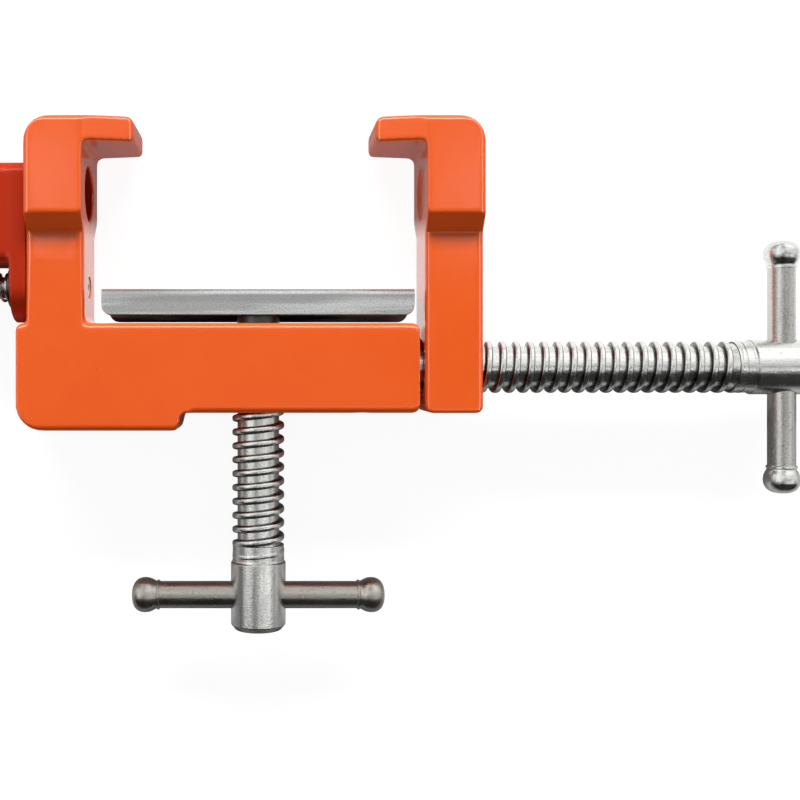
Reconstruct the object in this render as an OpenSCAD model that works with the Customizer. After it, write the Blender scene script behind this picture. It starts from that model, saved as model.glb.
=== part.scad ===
// Face frame clamp, in millimetres.
// It lies on its back: X runs from the fixed jaw to the moving jaw, Y runs up to the hooks and
// Z runs out of the front. The origin is where the drilling axis leaves the fixed jaw's face.

/* [Jaws] */
// Thickness of each jaw, measured along the drilling axis
jaw_thick = 13; // [11:0.5:14]
// Depth of the jaws' wide heads, from front to back
head_depth = 24; // [22:0.5:27]
// Depth of the jaws' columns, from front to back
column_depth = 17.2; // [16.8:0.2:18.4]
// How far the wide heads reach below the drilling axis
head_below = 5.8; // [5:0.2:7]
// Height of the slope between a head and its column
slope_h = 3.7; // [2.5:0.1:4.5]
// Height of the hooks' undersides over the drilling axis
hook_rise = 10.2; // [8:0.2:12]
// Thickness of the hooks
hook_thick = 5.7; // [4.5:0.1:7]
// How far the hooks reach over the work
hook_reach = 11.3; // [8:0.1:14]
// Depth of the hooks at their tips
hook_tip_depth = 19.4; // [16:0.2:21]
// Radius of the heads' outer top corners
head_corner_r = 6; // [3:0.5:8]
// Rounding of the hooks' tips
tip_r = 1.8; // [0.6:0.1:2.4]
// Fillet between a hook and its clamping face
hook_fillet = 1.6; // [0.8:0.1:3]
// Rounding of the cast edges
edge_r = 1.1; // [0.6:0.1:1.6]
// Bore through the fixed jaw for the screw and its driver
driver_hole_d = 12.5; // [10:0.5:14]
// Width of the round recess that keeps a drill off the moving jaw
recess_d = 12; // [8:0.5:14]
// Depth of that recess
recess_depth = 0.6; // [0.4:0.1:4]
// Gap between the beam's end and the moving jaw as drawn
jaw_gap = 1.2; // [1.2:0.2:34]

/* [Beam] */
// Height of the drilling axis over the beam
hole_over_beam = 30; // [28:0.5:40]
// Height of the beam
beam_h = 20.2; // [18.6:0.2:24]
// Depth of the beam, from front to back
beam_depth = 16.8; // [15.6:0.2:16.8]
// Distance from the fixed clamping face to the beam's free end
beam_reach = 75.2; // [70:0.2:75.4]
// How far the beam stands out behind the fixed jaw
shoulder = 2.3; // [1:0.1:3]
// How far the foot reaches below the beam
foot_drop = 4; // [2:0.2:6]
// Length of the foot
foot_len = 37.1; // [25:0.1:42]
// Radius of the foot's outer corner
foot_corner_r = 6; // [3:0.5:8]
// Rounding of the beam's other corners, seen from the front
beam_corner_r = 1.6; // [0.8:0.1:2.2]
// Fillet where the fixed jaw meets the beam
root_fillet = 1.5; // [0.5:0.1:2.5]

/* [Screws] */
// Outer diameter of both threads
screw_d = 12; // [10.4:0.1:12.4]
// Root diameter of both threads
root_d = 9.7; // [8.6:0.1:10.1]
// Rise of both threads in one turn
pitch = 3.2; // [2.4:0.1:4]
// Diameter of the clamp screw's neck and journal
neck_d = 7.8; // [7:0.1:8.6]
// Depth of the clamp screw's axis below the beam's top
clamp_screw_drop = 9.9; // [9:0.1:11]
// Threaded length of the clamp screw past the moving jaw's inner face
clamp_thread_len = 72.2; // [60:0.2:90]
// Distance from the fixed clamping face to the lift screw's axis
lift_x = 38.95; // [36:0.05:42]
// Length of the lift screw below its shoulder, down to the hub
lift_shank_len = 59; // [52:0.5:75]
// Length of thread that fades out before each hub
fade_len = 5; // [3:0.5:8]
// Length of thread that fades in at its other end
start_fade = 2; // [1:0.5:4]
// Diameter of the hubs
hub_d = 12.6; // [12:0.1:14]
// Length of the hubs
hub_len = 16.3; // [13:0.1:18]
// Chamfer on the hubs' free ends
hub_chamfer = 1.3; // [0.6:0.1:2]
// Length of plain neck between the clamp screw's thread and its hub
plain_neck_len = 2.6; // [1:0.2:5]
// Distance from the start of a hub to its cross hole's axis
cross_hole_at = 8.5; // [5:0.1:9]

/* [T-bars] */
// Diameter of the T-bars
bar_d = 6.2; // [5:0.1:7]
// Length of a T-bar over both knobs
bar_len = 58.2; // [50:0.2:70]
// Largest diameter of the knobs
knob_d = 8; // [7.6:0.1:10]
// Length of a knob
knob_len = 6.4; // [5.4:0.1:8]
// Diameter of the bar's ends, which the knobs are pressed on
spigot_d = 4; // [3:0.2:4.4]
// Length of those ends
spigot_len = 4; // [3:0.1:4.6]

/* [Pressure plate] */
// Length of the plate
plate_len = 70.3; // [60:0.1:71]
// Width of the plate
plate_w = 15; // [14.2:0.2:16.4]
// Height of the plate's channel
plate_h = 6.9; // [6.4:0.1:9]
// How much higher its front flange ends than the rear one
front_flange_rise = 0.9; // [0:0.1:1.5]
// Sheet thickness
plate_t = 1.6; // [1.4:0.1:2]
// Gap between the plate's flanges and the beam as drawn
plate_gap = 0.8; // [0.8:0.1:12]
// Diameter of the riveted spigot that holds the plate
rivet_d = 6; // [5:0.1:7]
// Diameter of the flush rivet head
rivet_head_d = 8.2; // [7.6:0.1:9]
// Diameter of the washer between the screw's shoulder and the plate
thrust_washer_d = 10.4; // [9.6:0.1:10.8]
// Thickness of that washer
thrust_washer_t = 0.9; // [0.6:0.1:1.2]
// Rounding of the plate's lower corners, seen from the front
plate_corner_r = 2.4; // [1:0.1:3.4]

/* [Guide plate] */
// Height of the sliding tail of the plate that keeps the moving jaw upright
guide_tail_h = 12; // [10:0.5:16]
// Length of the tail beyond the moving jaw
guide_tail_len = 67; // [60:1:74]
// Distance from the clamp screw's axis up to the lower of its two screws
guide_screw_rise = 10.5; // [10:0.1:12]
// Distance between its two screws
guide_screw_gap = 8; // [7:0.2:9]
// Diameter of its screws
guide_screw_d = 3; // [2.5:0.1:3.4]

/* [Drill guide] */
// Thickness of the arm
arm_t = 3.9; // [3:0.1:5]
// Width of the arm, front to back
arm_w = 16.2; // [15:0.2:17]
// Distance from the pivot up to the drilling axis
pivot_drop = 21.6; // [20:0.1:23.4]
// Height of the arm and its block over the drilling axis
block_rise = 6.3; // [6.1:0.1:8]
// Height of the block
block_h = 23; // [20:0.1:23.1]
// Depth of the block, front to back
block_w = 16; // [14:0.2:17]
// Length of the block, out from the arm
block_len = 22; // [14:0.5:30]
// Corner radius of the arm and block, seen along the bushing
block_r = 2.5; // [1:0.1:3.5]
// Rounding of the block's outer end
block_end_r = 1.5; // [0.5:0.1:2.5]
// Bore of the drill bushing
drill_d = 4.9; // [3:0.1:6]
// Outer diameter of the drill bushing
bushing_d = 9.5; // [8:0.1:10.4]
// Diameter of the bushing's head
bushing_head_d = 12; // [11:0.1:12.2]
// Thickness of the bushing's head
bushing_head_t = 1.5; // [1:0.1:3]

/* [Pivot] */
// Diameter of the pivot bolt
bolt_d = 5; // [4.4:0.1:5.2]
// Diameter of its head
bolt_head_d = 8.6; // [7.4:0.1:8.8]
// Height of its head
bolt_head_h = 3.4; // [2.6:0.1:4]
// Slot in its head: width
slot_w = 1.2; // [0.8:0.1:1.6]
// Slot in its head: depth
slot_depth = 1.4; // [0.8:0.1:1.8]
// Diameter of the washer on the arm
washer_d = 9.2; // [8.4:0.1:9.2]
// Thickness of that washer
washer_t = 1.2; // [0.8:0.1:1.6]
// Length of the spring between washer and head
spring_len = 12; // [10:0.5:16]
// Thickness of the spring's wire
wire_d = 0.7; // [0.5:0.05:0.8]
// Number of curls in the spring
spring_curls = 6.5; // [4:0.5:7]

/* [Clamp screw retainer] */
// Diameter of the two pins that hold the journal
pin_d = 4; // [3:0.1:4]
// Depth of the journal's groove
groove_depth = 1; // [0.8:0.1:1.2]
// Distance from the beam's free end to the pins
pin_inset = 13; // [9:0.5:18]

/* [Hidden] */
$fn = 48;

orange = [0.93, 0.38, 0.16];
deep_orange = [0.75, 0.23, 0.09];
zinc = [0.78, 0.78, 0.77];
steel = [0.55, 0.55, 0.56];

// Clearances: threads in their bores, turning fits, pressed fits, and faces that slide
thread_play = 0.1;
running_play = 0.05;
pressed_play = 0.01;
face_play = 0.05;
// Length that a cut runs past a face, that one body runs into the next, and a wall between bores
past = 1;
overlap = 0.5;
bore_wall = 1.7;

// Distance between the clamping faces
opening = beam_reach + jaw_gap;
beam_top_y = -hole_over_beam;
beam_bottom_y = beam_top_y - beam_h;
foot_y = beam_bottom_y - foot_drop;
beam_left_x = -jaw_thick - shoulder;
foot_right_x = beam_left_x + foot_len;
hook_under_y = hook_rise;
head_top_y = hook_under_y + hook_thick;
head_low_y = -head_below;
clamp_y = beam_top_y - clamp_screw_drop;

// Clamp screw, along X
journal_end_x = lift_x + screw_d / 2 + thread_play + bore_wall + running_play;
clamp_thread_x = opening + 2;
clamp_thread_end_x = opening + clamp_thread_len;
clamp_hub_x = clamp_thread_end_x + plain_neck_len;
clamp_bar_x = clamp_hub_x + cross_hole_at;
pin_x = beam_reach - pin_inset;
pin_z = neck_d / 2 - groove_depth + running_play + pin_d / 2;
pin_top_y = clamp_y + pin_d / 2 + neck_d / 2;
pin_end_gap = 0.3;

// Lift screw and plate, along Y
plate_low_y = beam_top_y + plate_gap;
front_flange_y = plate_low_y + front_flange_rise;
plate_top_y = plate_low_y + plate_h;
web_low_y = plate_top_y - plate_t;
lift_thread_end_y = plate_low_y - 0.5;
lift_shoulder_y = web_low_y - thrust_washer_t - 2 * face_play;
lift_hub_y = lift_shoulder_y - lift_shank_len;
lift_bar_y = lift_hub_y - cross_hole_at;
rivet_head_t = plate_t * 0.7;

// Guide plate, between the back of the moving jaw's column and the back of its head
guide_back_z = -head_depth / 2;
guide_plate_t = (head_depth - column_depth) / 2;
guide_head_inset = 0.8;
guide_head_x = opening + guide_head_inset;
guide_head_len = jaw_thick - 2 * guide_head_inset;
guide_screw_x = opening + jaw_thick / 2;
guide_screw_y = [clamp_y + guide_screw_rise, clamp_y + guide_screw_rise + guide_screw_gap];
guide_screw_head_d = 2 * guide_screw_d;
guide_screw_len = 8;
guide_corner_r = 2;
key_d = 2.3;
key_depth = 1.6;
guide_head_top_y = guide_screw_y[1] + guide_screw_head_d / 2 + 1.2;

// Drill guide and its pivot, along X
arm_face_x = -jaw_thick - face_play;
arm_out_x = arm_face_x - arm_t;
block_out_x = arm_out_x - block_len;
block_low_y = block_rise - block_h;
pivot_y = -pivot_drop;
washer_out_x = arm_out_x - washer_t;
bolt_head_x = washer_out_x - spring_len;
bolt_end_x = -0.2;
wire_r = wire_d / 2;
coil_r = bolt_d / 2 + 2 * thread_play + wire_r;
bushing_inset = 0.1;

// One rounded corner of an outline, at b between a and c
function unit(v) = v / norm(v);
function corner(a, b, c, r, steps = 8) =
    let (u = unit(a - b), v = unit(c - b), half = acos(u * v) / 2)
    r <= 0 ? [b] :
    let (mid = b + unit(u + v) * r / sin(half), p = b + u * r / tan(half) - mid,
         q = b + v * r / tan(half) - mid, turn = atan2(p[0] * q[1] - p[1] * q[0], p * q))
    [for (k = [0 : steps]) let (t = turn * k / steps)
        mid + [p[0] * cos(t) - p[1] * sin(t), p[0] * sin(t) + p[1] * cos(t)]];

// An outline from corners given as [x, y, radius]
function flat(p) = [p[0], p[1]];
function rounded(path) =
    let (n = len(path))
    [for (i = [0 : n - 1]) each corner(
        flat(path[(i + n - 1) % n]), flat(path[i]), flat(path[(i + 1) % n]), path[i][2])];
function rounded_box(low, high, r) =
    rounded([[low[0], low[1], r], [high[0], low[1], r], [high[0], high[1], r], [low[0], high[1], r]]);

// Outlines drawn in (x, y), (y, z) and (x, z), run along the third axis
module along_z(low, high, outline) {
    translate([0, 0, low]) linear_extrude(high - low) polygon(outline);
}
module along_x(low, high, outline) {
    translate([low, 0, 0]) rotate([90, 0, 90]) linear_extrude(high - low) polygon(outline);
}
module along_y(low, high, outline) {
    translate([0, high, 0]) rotate([90, 0, 0]) linear_extrude(high - low) polygon(outline);
}

// Turn a piece drawn along Z to lie along X or Y
module to_x() { rotate([0, 90, 0]) children(); }
module to_y() { rotate([-90, 0, 0]) children(); }

// Round bars between two places on an axis
module bar_x(low, high, d, y = 0, z = 0) {
    translate([low, y, z]) to_x() cylinder(h = high - low, d = d);
}
module bar_y(low, high, d, x = 0, z = 0) {
    translate([x, low, z]) to_y() cylinder(h = high - low, d = d);
}

// A jaw with its clamping face at x = 0 and its hook over +x
module jaw(bottom_y, bottom_r) {
    // The slope ends just inside the column, so that no two faces coincide
    slope_end_z = column_depth / 2 - 0.2;
    intersection() {
        along_z(-head_depth, head_depth, rounded([
            [hook_reach, hook_under_y, edge_r], [0, hook_under_y, hook_fillet],
            [0, bottom_y, bottom_r], [-jaw_thick, bottom_y, bottom_r],
            [-jaw_thick, head_top_y, head_corner_r], [hook_reach, head_top_y, tip_r]]));
        union() {
            along_y(bottom_y - past, head_low_y,
                rounded_box([-jaw_thick, -column_depth / 2], [0, column_depth / 2], edge_r));
            intersection() {
                along_y(head_low_y - slope_h, head_top_y + past, rounded([
                    [-jaw_thick, -head_depth / 2, edge_r], [0, -head_depth / 2, 0],
                    [hook_reach, -hook_tip_depth / 2, edge_r],
                    [hook_reach, hook_tip_depth / 2, edge_r], [0, head_depth / 2, 0],
                    [-jaw_thick, head_depth / 2, edge_r]]));
                along_x(-jaw_thick - past, hook_reach + past, rounded([
                    [head_low_y - slope_h, -slope_end_z, 0],
                    [head_low_y, -head_depth / 2, edge_r], [head_top_y, -head_depth / 2, edge_r],
                    [head_top_y, head_depth / 2, edge_r], [head_low_y, head_depth / 2, edge_r],
                    [head_low_y - slope_h, slope_end_z, 0]]));
            }
        }
    }
}

// The beam under the work, with its foot below the fixed jaw
module beam() {
    foot_taper = 1;
    intersection() {
        along_z(-beam_depth, beam_depth, rounded([
            [beam_left_x, beam_top_y, beam_corner_r], [beam_reach, beam_top_y, beam_corner_r],
            [beam_reach, beam_bottom_y, beam_corner_r], [foot_right_x, beam_bottom_y, edge_r],
            [foot_right_x - foot_taper, foot_y, edge_r], [beam_left_x, foot_y, foot_corner_r]]));
        union() {
            along_x(beam_left_x - past, beam_reach + past, rounded_box(
                [beam_bottom_y, -beam_depth / 2], [beam_top_y, beam_depth / 2], edge_r));
            along_x(beam_left_x - past, foot_right_x + 2 * past, rounded_box(
                [foot_y, -beam_depth / 2], [beam_top_y - 2 * past, beam_depth / 2], edge_r));
        }
    }
    // Fillet against the fixed jaw
    along_z(edge_r - beam_depth / 2, beam_depth / 2 - edge_r, concat(
        [[-past, beam_top_y - past], [root_fillet, beam_top_y - past]],
        corner([past, beam_top_y], [0, beam_top_y], [0, beam_top_y + past], root_fillet),
        [[-past, beam_top_y + root_fillet]]));
}

module body_casting() {
    color(orange) difference() {
        union() {
            jaw(beam_top_y - beam_h / 2, 0);
            beam();
        }
        // Driver hole, and the tapped hole of the pivot bolt
        bar_x(-jaw_thick - past, past, driver_hole_d);
        bar_x(-jaw_thick - past, past, bolt_d, pivot_y);
        // Nut bore of the lift screw
        bar_y(foot_y, beam_top_y + past, screw_d + 2 * thread_play, lift_x);
        // Journal bore of the clamp screw, and the bores of its two pins
        bar_x(journal_end_x - running_play, beam_reach + past, neck_d + 2 * running_play, clamp_y);
        for (side = [-1, 1]) {
            bar_y(beam_bottom_y - past, pin_top_y, pin_d + 2 * pressed_play, pin_x, side * pin_z);
        }
    }
}

module moving_jaw() {
    color(orange) difference() {
        translate([opening, 0, 0]) mirror([1, 0, 0]) jaw(beam_bottom_y, beam_corner_r);
        // Nut bore of the clamp screw, and the recess opposite the drill
        bar_x(opening - past, opening + jaw_thick + past, screw_d + 2 * thread_play, clamp_y);
        bar_x(opening - past, opening + recess_depth, recess_d);
        for (y = guide_screw_y) {
            translate([guide_screw_x, y, -column_depth / 2 - past])
                cylinder(h = guide_screw_len - guide_plate_t + past, d = guide_screw_d + 2 * pressed_play);
        }
    }
}

// Countersunk head and shank of a guide plate's screw, drawn from its flush head upwards
module guide_screw_solid(play) {
    head_h = (guide_screw_head_d - guide_screw_d) / 2;
    cylinder(h = head_h, d1 = guide_screw_head_d + 2 * play, d2 = guide_screw_d + 2 * play);
    cylinder(h = guide_screw_len - overlap, d = guide_screw_d + 2 * play);
}

module guide_plate() {
    tail_left_x = guide_head_x - guide_tail_len;
    color(zinc) difference() {
        along_z(guide_back_z, -column_depth / 2, rounded([
            [tail_left_x, clamp_y - guide_tail_h / 2, guide_corner_r],
            [guide_head_x + guide_head_len, clamp_y - guide_tail_h / 2, guide_corner_r],
            [guide_head_x + guide_head_len, guide_head_top_y, guide_corner_r],
            [guide_head_x, guide_head_top_y, guide_corner_r],
            [guide_head_x, clamp_y + guide_tail_h / 2, guide_corner_r],
            [tail_left_x, clamp_y + guide_tail_h / 2, guide_corner_r]]));
        for (y = guide_screw_y) {
            translate([guide_screw_x, y, guide_back_z]) guide_screw_solid(running_play);
        }
    }
}

module guide_screw(y) {
    color(steel) translate([guide_screw_x, y, guide_back_z])
        difference() {
            guide_screw_solid(0);
            // Hexagon socket for the key
            translate([0, 0, -past]) cylinder(h = past + key_depth, d = key_d, $fn = 6);
        }
}

// A threaded rod along Z from 0 to length, faded into its root at both ends
module thread_rod(length, fade_low, fade_high, hand) {
    segments = 18;
    root_r = root_d / 2;
    turns = floor((length / pitch - 1) * segments) / segments;
    steps = round(turns * segments);
    low = (length - (turns + 1) * pitch) / 2;
    // Profile over one turn: share of the rise, share of the thread's depth
    profile = [[0, 0], [0.09, 0.72], [0.225, 1], [0.36, 0.72], [0.45, 0]];
    n = len(profile);
    function depth_at(i) = (screw_d / 2 - root_r)
        * max(0, min(1, i / segments * pitch / fade_low, (steps - i) / segments * pitch / fade_high));
    function spot(i, r, z) =
        let (turn = hand * i * 360 / segments) [r * cos(turn), r * sin(turn), z];
    strip = [for (i = [0 : steps]) for (p = profile)
        spot(i, root_r + depth_at(i) * p[1], low + (i / segments + p[0]) * pitch)];
    rim = [for (i = [steps - segments + 1 : steps]) spot(i, root_r, low + (i / segments + 1) * pitch)];
    foot_ring = [for (i = [0 : segments - 1]) spot(i, root_r, 0)];
    head_ring = [for (i = [0 : segments - 1]) spot(steps - segments + i, root_r, length)];
    rim_at = len(strip);
    foot_at = rim_at + len(rim);
    head_at = foot_at + segments;
    // Index of a strip point: the last column of one turn is the first of the next
    function at(i, j) = j < n ? i * n + j
        : i + segments <= steps ? (i + segments) * n
        : rim_at + i - (steps - segments + 1);
    function foot(i) = foot_at + i % segments;
    function head(i) = head_at + i % segments;
    side = [for (i = [0 : steps - 1]) for (j = [0 : n - 1]) each [
        [at(i, j), at(i, j + 1), at(i + 1, j + 1)], [at(i, j), at(i + 1, j + 1), at(i + 1, j)]]];
    skirt_low = [for (i = [0 : segments - 2]) each [
        [foot(i), at(i, 0), at(i + 1, 0)], [foot(i), at(i + 1, 0), foot(i + 1)]]];
    // Where a skirt meets the strip's end, a fan takes in the points of the profile
    low_side = concat([foot(segments - 1), foot(0)], [for (j = [0 : n]) at(0, j)]);
    fan_low = [for (k = [0 : len(low_side) - 2]) [at(segments - 1, 0), low_side[k + 1], low_side[k]]];
    skirt_high = [for (i = [1 : segments - 1]) let (m = steps - segments + i) each [
        [at(m, n), head(i), head(i + 1)], [at(m, n), head(i + 1), at(m + 1, n)]]];
    high_side = concat([for (j = [0 : n]) at(steps, j)], [head(0), head(1)]);
    fan_high = [for (k = [0 : len(high_side) - 2])
        [at(steps - segments + 1, n), high_side[k], high_side[k + 1]]];
    caps = concat([[for (i = [0 : segments - 1]) foot(i)]],
        [[for (i = [0 : segments - 1]) head(segments - 1 - i)]]);
    faces = concat(side, skirt_low, fan_low, skirt_high, fan_high, caps);
    polyhedron(concat(strip, rim, foot_ring, head_ring),
        hand > 0 ? faces : [for (f = faces) [for (k = [len(f) - 1 : -1 : 0]) f[k]]]);
}

// A hub along Z from 0, with its cross hole along Y and its free end chamfered
module hub() {
    bevel = 0.5;
    difference() {
        rotate_extrude() polygon([
            [0, 0], [hub_d / 2 - bevel, 0], [hub_d / 2, bevel],
            [hub_d / 2, hub_len - hub_chamfer], [hub_d / 2 - hub_chamfer, hub_len], [0, hub_len]]);
        translate([0, 0, cross_hole_at]) rotate([90, 0, 0])
            cylinder(h = hub_d + 2 * past, d = bar_d + 2 * thread_play, center = true);
    }
}

module clamp_screw() {
    groove_w = pin_d + 2 * face_play;
    color(zinc) {
        difference() {
            bar_x(journal_end_x, clamp_thread_x + overlap, neck_d, clamp_y);
            translate([pin_x - groove_w / 2, clamp_y, 0]) to_x() difference() {
                cylinder(h = groove_w, d = neck_d + past);
                cylinder(h = groove_w, d = neck_d - 2 * groove_depth);
            }
        }
        translate([clamp_thread_x, clamp_y, 0]) to_x()
            thread_rod(clamp_thread_end_x + overlap - clamp_thread_x, start_fade, fade_len, -1);
        bar_x(clamp_thread_end_x, clamp_hub_x + overlap, root_d + 2 * running_play, clamp_y);
        translate([clamp_hub_x, clamp_y, 0]) to_x() hub();
    }
}

module retaining_pin(side) {
    color(steel)
        bar_y(beam_bottom_y + pin_end_gap, pin_top_y - pin_end_gap, pin_d, pin_x, side * pin_z);
}

// Rod of a T-bar along Z, centred, with a spigot at each end
module tommy_bar() {
    rod_len = bar_len - 2 * knob_len;
    color(zinc) {
        cylinder(h = rod_len, d = bar_d, center = true);
        cylinder(h = rod_len + 2 * spigot_len, d = spigot_d, center = true);
    }
}

// Knob at the upper end of a T-bar along Z: a ball that is fuller than round towards its end
module knob() {
    wide_at = 0.54 * knob_len;
    fullness = 0.75;
    neck_r = bar_d / 2 + thread_play;
    low = [for (t = [0 : 15 : 75])
        [neck_r + (knob_d / 2 - neck_r) * sin(t), wide_at * (1 - cos(t))]];
    high = [for (t = [0 : 10 : 90])
        [knob_d / 2 * pow(cos(t), fullness), wide_at + (knob_len - wide_at) * pow(sin(t), fullness)]];
    color(zinc) translate([0, 0, bar_len / 2 - knob_len]) difference() {
        rotate_extrude() polygon(concat([[0, 0]], low, high));
        translate([0, 0, -past])
            cylinder(h = past + spigot_len + running_play, d = spigot_d + 2 * pressed_play);
    }
}

module at_clamp_bar() { translate([clamp_bar_x, clamp_y, 0]) to_y() children(); }
module at_lift_bar() { translate([lift_x, lift_bar_y, 0]) to_x() children(); }

module clamp_tommy_bar() { at_clamp_bar() tommy_bar(); }
module clamp_knob_upper() { at_clamp_bar() knob(); }
module clamp_knob_lower() { at_clamp_bar() rotate([180, 0, 0]) knob(); }
module lift_tommy_bar() { at_lift_bar() tommy_bar(); }
module lift_knob_right() { at_lift_bar() knob(); }
module lift_knob_left() { at_lift_bar() rotate([180, 0, 0]) knob(); }

module lift_screw() {
    color(zinc) {
        translate([lift_x, lift_hub_y - overlap, 0]) to_y()
            thread_rod(lift_thread_end_y - lift_hub_y + overlap, fade_len, start_fade, 1);
        // Shoulder, spigot and flush rivet head over the thread
        bar_y(lift_thread_end_y - overlap, lift_shoulder_y, root_d + 2 * running_play, lift_x);
        bar_y(lift_shoulder_y - overlap, plate_top_y - overlap, rivet_d, lift_x);
        translate([lift_x, plate_top_y - rivet_head_t, 0]) to_y()
            cylinder(h = rivet_head_t, d1 = rivet_d, d2 = rivet_head_d);
        // Hub, turned so that its cross hole lies along X
        translate([lift_x, lift_hub_y, 0]) rotate([90, 0, 0]) rotate([0, 0, 90]) hub();
    }
}

module thrust_washer() {
    color(steel) translate([lift_x, lift_shoulder_y + face_play, 0]) to_y() difference() {
        cylinder(h = thrust_washer_t, d = thrust_washer_d);
        translate([0, 0, -past])
            cylinder(h = thrust_washer_t + 2 * past, d = rivet_d + 2 * running_play);
    }
}

module pressure_plate() {
    inner_z = plate_w / 2 - plate_t;
    inner_r = plate_t / 3;
    low_x = lift_x - plate_len / 2;
    high_x = lift_x + plate_len / 2;
    function side(low_y) = rounded([
        [low_x, low_y, plate_corner_r], [high_x, low_y, plate_corner_r],
        [high_x, plate_top_y, inner_r], [low_x, plate_top_y, inner_r]]);
    color(zinc) difference() {
        intersection() {
            along_x(low_x, high_x, rounded([
                [plate_low_y, -plate_w / 2, 0], [plate_top_y, -plate_w / 2, plate_t],
                [plate_top_y, plate_w / 2, plate_t], [front_flange_y, plate_w / 2, 0],
                [front_flange_y, inner_z, 0], [web_low_y, inner_z, inner_r],
                [web_low_y, -inner_z, inner_r], [plate_low_y, -inner_z, 0]]));
            union() {
                along_z(-plate_w, 0, side(plate_low_y));
                along_z(-inner_z, plate_w, side(front_flange_y));
            }
        }
        bar_y(web_low_y - past, plate_top_y + past, rivet_d + 2 * running_play, lift_x);
        translate([lift_x, plate_top_y - rivet_head_t, 0]) to_y() cylinder(
            h = rivet_head_t, d1 = rivet_d + 2 * thread_play, d2 = rivet_head_d + 2 * thread_play);
    }
}

module drill_guide() {
    // The arm's lower end is a half circle about the pivot, less a sliver
    end_r = arm_w / 2 - 0.01;
    color(deep_orange) difference() {
        union() {
            along_x(arm_out_x, arm_face_x, rounded([
                [pivot_y - arm_w / 2, -arm_w / 2, end_r], [pivot_y - arm_w / 2, arm_w / 2, end_r],
                [block_rise, arm_w / 2, block_r], [block_rise, -arm_w / 2, block_r]]));
            intersection() {
                along_x(block_out_x, arm_out_x + past, rounded_box(
                    [block_low_y, -block_w / 2], [block_rise, block_w / 2], block_r));
                along_z(-block_w, block_w, rounded([
                    [block_out_x, block_low_y, block_end_r], [arm_face_x, block_low_y, 0],
                    [arm_face_x, block_rise, 0], [block_out_x, block_rise, block_end_r]]));
            }
        }
        bar_x(block_out_x - past, arm_face_x + past, bushing_d + 2 * pressed_play);
        bar_x(block_out_x - past, arm_face_x + past, bolt_d + 2 * running_play, pivot_y);
    }
}

module drill_bushing() {
    color(steel) difference() {
        union() {
            bar_x(block_out_x, arm_face_x - bushing_inset, bushing_d);
            bar_x(block_out_x - bushing_head_t, block_out_x, bushing_head_d);
        }
        bar_x(block_out_x - bushing_head_t - past, arm_face_x + past, drill_d);
    }
}

module pivot_bolt() {
    color(zinc) difference() {
        union() {
            bar_x(bolt_head_x, bolt_end_x, bolt_d - 2 * running_play, pivot_y);
            bar_x(bolt_head_x - bolt_head_h, bolt_head_x, bolt_head_d, pivot_y);
        }
        // Slot for a screwdriver
        translate([bolt_head_x - bolt_head_h - past, pivot_y - slot_w / 2, -bolt_head_d])
            cube([past + slot_depth, slot_w, 2 * bolt_head_d]);
    }
}

module pivot_washer() {
    color(steel) difference() {
        bar_x(washer_out_x, arm_out_x, washer_d, pivot_y);
        bar_x(washer_out_x - past, arm_out_x + past, bolt_d + 2 * thread_play, pivot_y);
    }
}

// Spring wire's middle line along Z: straight ends, a bend at each, and the curls between
bend_r = wire_d;
curl_rise = (spring_len - 4 * bend_r) / spring_curls;
curl_steps = round(8 * spring_curls);
bend_turn = bend_r / coil_r * 180 / PI;
function on_coil(turn, z) = [coil_r * cos(turn), coil_r * sin(turn), z];
spring_start = concat([on_coil(0, 0)],
    [for (b = [0 : 30 : 60]) on_coil(bend_turn * (1 - cos(b)), bend_r + bend_r * sin(b))]);
spring_middle = [for (k = [0 : curl_steps]) let (curls = spring_curls * k / curl_steps)
    on_coil(bend_turn + 360 * curls, 2 * bend_r + curl_rise * curls)];
spring_turned = 2 * bend_turn + 360 * spring_curls;
spring_end = [for (k = [len(spring_start) - 1 : -1 : 0])
    let (p = spring_start[k], turn = spring_turned - atan2(p[1], p[0])) on_coil(turn, spring_len - p[2])];
spring_line = concat(spring_start, spring_middle, spring_end);
spring_gap = min([for (i = [0 : len(spring_line) - 1])
    for (j = [i + 6 : 1 : len(spring_line) - 1]) norm(spring_line[i] - spring_line[j])]) - wire_d;
echo(least_gap_between_curls = spring_gap);

// A tube of six sides along a line of points, whose ends are square to Z
module tube(line, r) {
    sides = 6;
    n = len(line);
    function heading(i) = i == 0 || i == n - 1 ? [0, 0, 1] : unit(line[i + 1] - line[i - 1]);
    rings = [for (i = [0 : n - 1])
        let (h = heading(i), out = unit([line[i][0], line[i][1], 0]),
             u = unit(out - h * (out * h)), v = cross(h, u))
        for (k = [0 : sides - 1]) line[i] + r * (u * cos(60 * k) + v * sin(60 * k))];
    wall = [for (i = [0 : n - 2]) for (k = [0 : sides - 1])
        let (a = i * sides + k, b = i * sides + (k + 1) % sides) each [
            [a, a + sides, b + sides], [a, b + sides, b]]];
    caps = [[for (k = [0 : sides - 1]) k], [for (k = [0 : sides - 1]) n * sides - 1 - k]];
    polyhedron(rings, concat(wall, caps));
}

module pivot_spring() {
    color(zinc) translate([bolt_head_x, pivot_y, 0]) to_x() tube(spring_line, wire_r);
}

body_casting();
moving_jaw();
guide_plate();
guide_screw(guide_screw_y[1]);  // guide_screw_upper
guide_screw(guide_screw_y[0]);  // guide_screw_lower
clamp_screw();
retaining_pin(1);  // retaining_pin_front
retaining_pin(-1);  // retaining_pin_rear
clamp_tommy_bar();
clamp_knob_upper();
clamp_knob_lower();
lift_screw();
lift_tommy_bar();
lift_knob_left();
lift_knob_right();
pressure_plate();
thrust_washer();
drill_guide();
drill_bushing();
pivot_bolt();
pivot_washer();
pivot_spring();
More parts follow.
